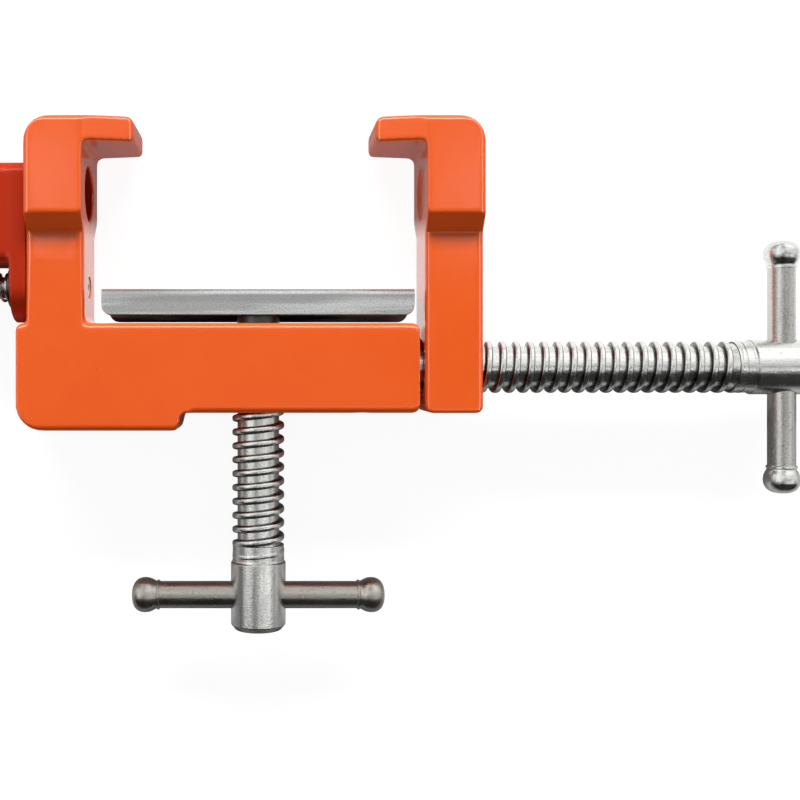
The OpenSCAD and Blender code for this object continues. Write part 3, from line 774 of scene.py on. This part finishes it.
def between(tree, value, low, high, to_low=0.0, to_high=1.0):
    """Spreads a part of a value's range over another range, and holds it at the ends."""
    names = ("Value", "From Min", "From Max", "To Min", "To Max")
    sockets = dict(zip(names, (value, low, high, to_low, to_high)))
    return add(tree, "ShaderNodeMapRange", None, sockets).outputs[0]


def product(tree, *values):
    """Several values multiplied."""
    value = values[0]
    for other in values[1:]:
        node = add(tree, "ShaderNodeMath", {"operation": "MULTIPLY"}, {0: value, 1: other})
        value = node.outputs[0]
    return value


def larger(tree, *values):
    """The largest of several values."""
    value = values[0]
    for other in values[1:]:
        node = add(tree, "ShaderNodeMath", {"operation": "MAXIMUM"}, {0: value, 1: other})
        value = node.outputs[0]
    return value


def unsigned(tree, value):
    """A value without its sign."""
    return add(tree, "ShaderNodeMath", {"operation": "ABSOLUTE"}, {0: value}).outputs[0]


def within(tree, value, low, high, soft):
    """1 between two places in millimetres, and 0 beyond them, with soft edges outside."""
    rise = between(tree, value, (low - soft) * MM, low * MM)
    return product(tree, rise, between(tree, value, high * MM, (high + soft) * MM, 1.0, 0.0))


def both(tree, one, other):
    """Two shaders added together."""
    return add(tree, "ShaderNodeAddShader", None, {0: one, 1: other}).outputs[0]


def glowing(tree, light):
    """A white surface that gives that much light."""
    sockets = {"Color": WHITE, "Strength": light}
    return add(tree, "ShaderNodeEmission", None, sockets).outputs[0]


def mixed(tree, share, one, other):
    """A colour between two colours."""
    sockets = {0: share, 6: one, 7: other}
    return add(tree, "ShaderNodeMix", {"data_type": "RGBA"}, sockets).outputs[2]


def bumps(tree, height, mm, strength, below=None):
    """A surface with bumps of that height, over another surface if one is given."""
    sockets = {"Strength": strength, "Distance": mm * MM, "Height": height}
    if below is not None:
        sockets["Normal"] = below
    return add(tree, "ShaderNodeBump", None, sockets).outputs[0]


def new_material(name):
    """An empty material and its nodes."""
    material = bpy.data.materials.new(name)
    material.use_nodes = True
    material.node_tree.nodes.clear()
    return material, material.node_tree


print("orange in linear", [round(c, 3) for c in linear("#E85D1B")])

# %% [markdown]
# ### Gloss enamel
# Both jaws are finished in a baked gloss enamel over cast metal. Sprayed enamel never dries quite
# flat: it keeps a skin like orange peel, with bumps about 2 mm wide, and it follows the slow waves
# of the casting, about 9 mm wide. Those two break up the reflections. Its colour drifts a little
# where the coat is thicker, and specks of dust lie under it, half a millimetre wide and nearly a
# centimetre apart. Enamel is a dielectric with an IOR near 1.5. The drill guide's coat is a deeper
# red orange and duller, so that it shows less of the room.


# %% Enamel
def enamel(name, colour, deep, rough, shine):
    """Baked enamel that drifts between two colours."""
    material, tree = new_material(name)
    place = add(tree, "ShaderNodeTexCoord").outputs["Object"]
    tone = mixed(tree, noise(tree, place, 14, 3), linear(colour), linear(deep))
    dust = add(tree, "ShaderNodeTexVoronoi", None, {"Vector": place, "Scale": grains(9)})
    speck = between(tree, dust.outputs["Distance"], 0.02, 0.035, 0.55, 0.0)
    tone = mixed(tree, speck, tone, linear("#5A1E08"))
    wave = bumps(tree, noise(tree, place, 9), 0.35, 0.2)
    skin = bumps(tree, noise(tree, place, 1.9, 1.5), 0.1, 0.12, wave)
    sockets = {
        "Base Color": tone,
        "Roughness": rough,
        "IOR": 1.5,
        "Specular IOR Level": shine,
        "Normal": skin,
    }
    finish = add(tree, "ShaderNodeBsdfPrincipled", None, sockets)
    add(tree, "ShaderNodeOutputMaterial", None, {"Surface": finish.outputs[0]})
    return material


orange_enamel = enamel("Gloss orange enamel on cast metal", "#E95E1C", "#E25517", 0.13, 0.5)
deep_enamel = enamel("Deep orange enamel on cast metal", "#B02C0D", "#A6280A", 0.24, 0.12)
print("enamels", orange_enamel.name, "and", deep_enamel.name)

# %% [markdown]
# ### Bright zinc plating
# The screws, T-bars and the plate are steel with bright zinc plating, a silver-white metal. Drawn
# bar keeps fine lengthwise lines under the plating, as bumps and as paler and darker rows, and the
# plating itself is a mosaic of tiny crystals, about 0.3 mm in clusters, that dull and tilt the
# reflections here and there. The real crystals are too fine for a render, so they are drawn as
# coarse as those clusters. The noise behind the lines is drawn out along the bar, to 17 times its
# width. Pits that the plating didn't fill show as dark dots. The thread's flanks, which face along
# the screw, are painted darker than roots and crests: partly for the dirt they keep, partly as
# painted shade between the ridges. Sheet shows its crystals most.

# %% Zinc
# The darkest grey here is painted onto the thread's flanks, partly as dirt, partly as painted shade
# between the ridges
PIT, ROW, FLANK_SHADE = linear("#6E6A66"), linear("#8E8C88"), linear("#2E2B29")
# Only the crystals' grey is the sheet's own: the dark grey is painted shade for the plate's channel
# and its front flange's lower edge, and the pale grey a painted reflection below the bend
CRYSTAL, CHANNEL_SHADE_GREY, REFLECTION_GREY = linear("#94979A"), linear("#2A2725"), linear("#A09E9A")
DRAWN_OUT = 0.06


def sheet_tones_and_shade(tree, place, crystals, colour):
    """The plate's tones: its own dull crystals, painted shade within the channel and along its front
    flange's lower edge, and a darker band just below the bend, which is a painted reflection."""
    colour = mixed(tree, between(tree, crystals, 0.40, 0.54, 0.32, 0.0), colour, CRYSTAL)
    parts = add(tree, "ShaderNodeSeparateXYZ", None, {0: place}).outputs
    up, out = parts["Y"], parts["Z"]
    # Painted shade: within the channel and along the front flange's lower edge the plate is painted
    # dark
    inner_face = 5.93
    channel_shade = within(tree, out, -inner_face, inner_face, 0.1)
    channel_shade = product(tree, channel_shade, within(tree, up, -31, -23.95, 0.1))
    lower_edge_shadow = within(tree, out, inner_face, 8, 0.1)
    lower_edge_shadow = product(tree, lower_edge_shadow, within(tree, up, -31, -28.12, 0.12))
    colour = mixed(tree, channel_shade, colour, CHANNEL_SHADE_GREY)
    colour = mixed(tree, lower_edge_shadow, colour, CHANNEL_SHADE_GREY)
    # Painted reflection: a darker band just below the bend
    reflection_band = product(tree, within(tree, up, -24.7, -23.6, 0.9), 0.25)
    return mixed(tree, reflection_band, colour, REFLECTION_GREY)


def zinc(name, along, tone, rough, mottle, crystal_mm, pits, flank_shade=0.0, channel=False):
    """Zinc plating on metal that was drawn or rolled along one axis, 0 for X and 1 for Y. mottle is
    how much rougher it gets in patches. pits says how dark the pits are, from 0 to 1, and the
    argument after it how dark the thread's sloping faces are painted, partly as dirt and partly as
    painted shade."""
    material, tree = new_material(name)
    place = add(tree, "ShaderNodeTexCoord").outputs["Object"]
    stretch = [1.0, 1.0, 1.0]
    stretch[along] = DRAWN_OUT
    lines_at = add(tree, "ShaderNodeMapping", None, {"Vector": place, "Scale": stretch}).outputs[0]
    dull = between(tree, noise(tree, place, 4, 3), 0.3, 0.7, rough, rough + mottle)
    crystals = noise(tree, place, crystal_mm, 2.5)
    drawn = bumps(tree, noise(tree, lines_at, 0.4), 0.05, 0.3)
    skin = bumps(tree, crystals, 0.06, 0.55, drawn)
    hole = between(tree, noise(tree, place, crystal_mm * 1.3, 3), 0.30, 0.40, pits, 0.0)
    colour = mixed(tree, hole, linear(tone), PIT)
    row_mm, row_strength = (2.2, 0.4) if channel else (0.9, 0.15)
    rows = between(tree, noise(tree, lines_at, row_mm), 0.45, 0.6, 0.0, row_strength)
    if channel:
        colour = sheet_tones_and_shade(tree, place, crystals, colour)
    colour = mixed(tree, rows, colour, ROW)
    # Painted shade, with some dirt: the thread's flanks, which face along the screw, are painted
    # darker
    if flank_shade:
        facing = add(tree, "ShaderNodeTexCoord").outputs["Normal"]
        endwise = add(tree, "ShaderNodeSeparateXYZ", None, {0: facing}).outputs[along]
        shaded_flank = between(tree, unsigned(tree, endwise), 0.45, 0.85, 0.0, flank_shade)
        colour = mixed(tree, shaded_flank, colour, FLANK_SHADE)
    sockets = {"Base Color": colour, "Metallic": 1.0, "Roughness": dull, "Normal": skin}
    finish = add(tree, "ShaderNodeBsdfPrincipled", None, sockets)
    add(tree, "ShaderNodeOutputMaterial", None, {"Surface": finish.outputs[0]})
    return material


zinc_x = zinc("Bright zinc on bar drawn along X", 0, "#E9E9E6", 0.18, 0.1, 0.4, 0.3)
thread_x = zinc("Bright zinc on thread rolled along X", 0, "#EFEFEC", 0.2, 0.1, 0.4, 0.4, 0.86)
thread_y = zinc("Bright zinc on thread rolled along Y", 1, "#EFEFEC", 0.2, 0.1, 0.4, 0.4, 0.86)
# This darker zinc is partly a duller finish and partly painted shade: the lift knobs take it, while
# the same knobs on the clamp screw keep bright zinc
dull_and_shaded_x = zinc("Dull zinc on bar drawn along X", 0, "#C2BEB6", 0.24, 0.12, 0.4, 0.5)
dull_y = zinc("Dull zinc on bar drawn along Y", 1, "#D4D2CD", 0.2, 0.12, 0.4, 0.5)
zinc_sheet = zinc("Bright zinc on rolled sheet", 0, "#FAFCFC", 0.36, 0.14, 0.3, 0.4, channel=True)
print("zinc", zinc_x.name, thread_x.name, zinc_sheet.name)

# %% [markdown]
# ### Dark hardened steel
# The bushing, the washers, the pins and the small screws are hardened and oiled, which leaves a
# dark grey, mottled skin that is duller than zinc. The lift screw's neck takes the same finish as
# painted shade, for the shade it lies in under the plate.

# %% Steel


def dark_steel(name):
    """Oiled steel with a mottled grey skin."""
    material, tree = new_material(name)
    place = add(tree, "ShaderNodeTexCoord").outputs["Object"]
    scale = noise(tree, place, 0.8, 4)
    sockets = {
        "Base Color": mixed(tree, scale, linear("#6F6D6A"), linear("#4D4B49")),
        "Metallic": 1.0,
        "Roughness": 0.33,
        "Normal": bumps(tree, scale, 0.05, 0.2),
    }
    finish = add(tree, "ShaderNodeBsdfPrincipled", None, sockets)
    add(tree, "ShaderNodeOutputMaterial", None, {"Surface": finish.outputs[0]})
    return material


hard_steel = dark_steel("Hardened dark steel")

# %% Give each piece its finish
finishes = [
    ("orange_enamel", orange_enamel, [body_casting, moving_jaw, pivot_mouth]),
    ("deep_orange_enamel", deep_enamel, [drill_guide, bored_wall]),
    ("zinc_plate", zinc_x, [pivot_spring] + clamp_knobs),
    ("zinc_plate", thread_x, [clamp_screw]),
    ("zinc_plate", thread_y, [lift_screw]),
    # The darker zinc, partly painted shade, goes to the lift bar, the pivot bolt and the lift knobs
    ("zinc_plate", dull_and_shaded_x, [lift_bar, pivot_bolt] + lift_knobs),
    ("zinc_plate", dull_y, [clamp_bar]),
    ("zinc_plate", zinc_sheet, [pressure_plate, guide_plate]),
    # The lift screw's neck takes dark steel as painted shade
    ("dark_steel", hard_steel, [drill_bushing, pivot_washer, thrust_washer, lift_neck_in_shade]),
    ("dark_steel", hard_steel, guide_screws + pins),
]
for slot_name, material, pieces in finishes:
    for piece in pieces:
        piece.data.materials.clear()
        piece.data.materials.append(material)
print("pieces with a finish", sum(len(pieces) for slot_name, material, pieces in finishes))

# %% [markdown]
# ## The studio
# The clamp lies on a pale floor. A large soft lamp stands low over the far end, towards the hooks,
# so that the slopes under the heads fall into shade. Metal shows what surrounds it, so the world is
# a simple studio for reflections: a white panel over the lamp's side, pale panels to the left and
# right, and darkness below the camera, which gives the screws their black lower halves. Round the
# camera the room is a calm grey, which keeps the orange pure, with a bright patch on either side of
# it that lays a pale haze over the heads. To the camera, floor and world are white, and the floor
# still shows the clamp's shadow.


# %% Floor
def rays(tree, *kinds):
    """1 for rays of the given kinds, and 0 for others."""
    path = add(tree, "ShaderNodeLightPath").outputs
    return larger(tree, *(path[kind] for kind in kinds))


def chosen(tree, share, one, other):
    """One shader or the other."""
    return add(tree, "ShaderNodeMixShader", None, {0: share, 1: one, 2: other}).outputs[0]


FLOOR_HALF, FLOOR_Z = 2500, -12.02
corners = [(-1, -1), (1, -1), (1, 1), (-1, 1)]
corners = [(x * FLOOR_HALF, y * FLOOR_HALF, FLOOR_Z) for x, y in corners]
floor = new_piece("floor", corners, [[0, 1, 2, 3]])
paper, tree = new_material("Pale paper floor")


def lit_paper(tree, grey, light):
    """Matt paper with some light of its own."""
    matt = add(tree, "ShaderNodeBsdfDiffuse", None, {"Color": (grey, grey, grey, 1)})
    return both(tree, matt.outputs[0], glowing(tree, light))


# In reflections only, the floor is painted: grey, paler beside the lift screw, with painted light
# above the clamp screw and between the jaws, and a painted shadow of the hooks over its far half
floor_at = add(tree, "ShaderNodeTexCoord").outputs["Object"]
floor_at = add(tree, "ShaderNodeSeparateXYZ", None, {0: floor_at}).outputs
across, along = floor_at["X"], floor_at["Y"]
throat = product(tree, within(tree, across, -1, 77, 3), within(tree, along, -33, 26, 4))
hook_shadow = within(tree, along, -4, 24, 5)
beside_screw = within(tree, along, -101, -56, 3)
grey = between(tree, beside_screw, 0, 1, 0.24, 0.5)
grey = product(tree, grey, between(tree, throat, 0, 1, 1.0, 0.12))
painted_mirror_floor = add(tree, "ShaderNodeBsdfDiffuse", None, {"Color": grey})
# Painted light and painted shadow in reflections: the floor glows between the jaws, less where the
# hooks stand over it, and glows above the clamp screw
light = product(tree, throat, between(tree, hook_shadow, 0, 1, 1.1, 0.26))
beyond = product(tree, within(tree, across, 92, 400, 3), within(tree, along, -38, 200, 3))
light = larger(tree, light, product(tree, beyond, 0.8))
painted_mirror_floor = both(tree, painted_mirror_floor.outputs[0], glowing(tree, light))
mirrored = rays(tree, "Is Glossy Ray", "Is Transmission Ray")
reflection = chosen(tree, mirrored, lit_paper(tree, 0.8, 0.06), painted_mirror_floor)
surface = chosen(tree, rays(tree, "Is Camera Ray"), reflection, lit_paper(tree, 0.14, 0.93))
add(tree, "ShaderNodeOutputMaterial", None, {"Surface": surface})
floor.data.materials.append(paper)

# %% World
world = bpy.data.worlds.new("Studio")
world.use_nodes = True
bpy.context.scene.world = world
tree = world.node_tree
tree.nodes.clear()
direction = add(tree, "ShaderNodeTexCoord").outputs["Generated"]
way = add(tree, "ShaderNodeSeparateXYZ", None, {0: direction}).outputs


def bands(tree, value, low, high, stops):
    """A row of grey bands from (place, grey) stops, where places run from low to high."""
    share = between(tree, value, low, high)
    node = add(tree, "ShaderNodeValToRGB", None, {"Fac": share})
    row = node.color_ramp
    for _ in stops[1:-1]:
        row.elements.new(0.5)
    for element, (place, grey) in zip(row.elements, stops):
        element.position = (place - low) / (high - low)
        element.color = (grey, grey, grey, 1)
    return node.outputs[0]


# Panels to the left and right, told apart by their angle from straight up towards X, in degrees
turn = add(tree, "ShaderNodeMath", {"operation": "ARCTAN2"}, {0: way["X"], 1: way["Z"]}).outputs[0]
turn = between(tree, turn, -math.pi, math.pi, -180, 180)
beside = bands(
    tree,
    turn,
    -180,
    180,
    [(-180, 0.3), (-110, 0.1), (-80, 0.15), (-62, 0.4), (-52, 0.95), (-30, 0.8), (-20, 0.4)]
    + [(-5, 0.5), (5, 0.45), (12, 0.15), (36, 0.15), (42, 0.5), (100, 0.6), (180, 0.6)],
)
# The same lower down, which the lift screw mirrors
beside_low = bands(
    tree,
    turn,
    -180,
    180,
    [(-180, 0.4), (-100, 0.3), (-82, 0.1), (-68, 0.1), (-58, 0.55), (-27, 0.6), (-20, 0.2)]
    + [(-8, 0.22), (2, 0.85), (55, 0.95), (62, 0.25), (74, 0.25), (82, 0.5), (180, 0.5)],
)
sides = mixed(tree, between(tree, way["Y"], -0.09, -0.06), beside_low, beside)
# The white panel above: paler near the clamp, and only to the right at its top
upwards = bands(
    tree,
    way["Y"],
    -1,
    1,
    [(-1, 0.0), (0.06, 0.0), (0.1, 0.6), (0.45, 0.7), (0.58, 1.0), (0.95, 1.0), (1, 0.8)],
)
far_up = product(
    tree,
    between(tree, way["Y"], 0.5, 0.62),
    between(tree, way["X"], 0.05, 0.13, 0.75, 0.0),
)
upwards = product(tree, upwards, between(tree, far_up, 0, 1, 1.0, 0.0))
# The grey spot round the camera, only as far down as the castings reflect
flattened = {"Vector": direction, "Scale": (1, 1, 0)}
off_axis = add(tree, "ShaderNodeMapping", None, flattened).outputs[0]
length = {"operation": "LENGTH"}
off_axis = add(tree, "ShaderNodeVectorMath", length, {0: off_axis}).outputs["Value"]
spot = larger(
    tree, between(tree, off_axis, 0.28, 0.31, 0.5), between(tree, way["Y"], -0.1, -0.06, 1.0, 0.0)
)
# Two bright patches beside it, which the outer halves of both heads reflect as a pale haze
sideways = unsigned(tree, way["X"])
patch = product(
    tree,
    between(tree, sideways, 0.14, 0.175),
    between(tree, sideways, 0.21, 0.24, 1.0, 0.0),
    between(tree, way["Y"], 0.05, 0.13),
    between(tree, way["Y"], 0.17, 0.22, 3.2, 0.4),
)
spot = larger(tree, spot, patch)
below = between(tree, way["Y"], -0.29, -0.25, 0.02, 1.0)
studio_light = product(tree, larger(tree, sides, upwards), spot, below)


def backdrop(tree, colour, strength):
    """What a ray that leaves the scene meets."""
    sockets = {"Color": colour, "Strength": strength}
    return add(tree, "ShaderNodeBackground", None, sockets).outputs[0]


studio = backdrop(tree, studio_light, 1.3)
white = backdrop(tree, WHITE, 1.0)
# The room's own soft light, stronger from the side away from the large lamp
fill = backdrop(tree, WHITE, between(tree, way["Y"], -0.9, -0.2, 0.5, 0.25))
glossy = rays(tree, "Is Glossy Ray", "Is Transmission Ray")
surround = chosen(tree, rays(tree, "Is Camera Ray"), chosen(tree, glossy, fill, studio), white)
add(tree, "ShaderNodeOutputWorld", None, {"Surface": surround})
print("world made")

# %% [markdown]
# The large lamp is soft enough for the shade under the heads to fade over a few millimetres, and
# far enough away to light all of the clamp alike. Gloss enamel also mirrors the studio's lamps in
# its rounded edges, as thin cream lines. A few glint lamps draw those: they only show in
# reflections, and only in the enamelled pieces, so that they neither light the floor nor burn out
# the zinc.

# %% Lamps
enamelled = bpy.data.collections.new("Enamelled pieces")
for piece in (body_casting, moving_jaw, drill_guide):
    enamelled.objects.link(piece)


def soft_lamp(name, place, aim, size, power):
    """A soft rectangular lamp, with its place, aim and size in metres and its power in watts."""
    light = bpy.data.lights.new(name, "AREA")
    light.shape = "RECTANGLE"
    light.size, light.size_y = size
    light.energy = power
    lamp = bpy.data.objects.new(name, light)
    bpy.context.scene.collection.objects.link(lamp)
    lamp.location = place
    lamp.rotation_euler = (Vector(aim) - Vector(place)).to_track_quat("-Z", "Y").to_euler()
    return lamp


key = soft_lamp("Key", (0.04, 1.45, 0.76), (0.04, -0.03, 0.0), (2.0, 0.36), 60.0)
key.visible_glossy = False
glints = [
    soft_lamp("Glint above", (0.04, 0.46, 0.60), (0.04, -0.03, 0.0), (1.2, 0.2), 8),
    soft_lamp("Glint left", (-0.46, 0.1, 0.60), (0.0, 0.1, 0.0), (0.9, 0.16), 2),
    soft_lamp("Glint right", (0.56, 0.1, 0.60), (0.08, 0.1, 0.0), (0.9, 0.16), 2),
]
for lamp in glints:
    lamp.visible_diffuse = False
    lamp.light_linking.receiver_collection = enamelled
print("lamp power", key.data.energy, "glints", len(glints))

# %% [markdown]
# ## The colour view
# The colours are shown as they are, without a film look.

# %% Colours as they are
bpy.context.scene.view_settings.view_transform = "Standard"
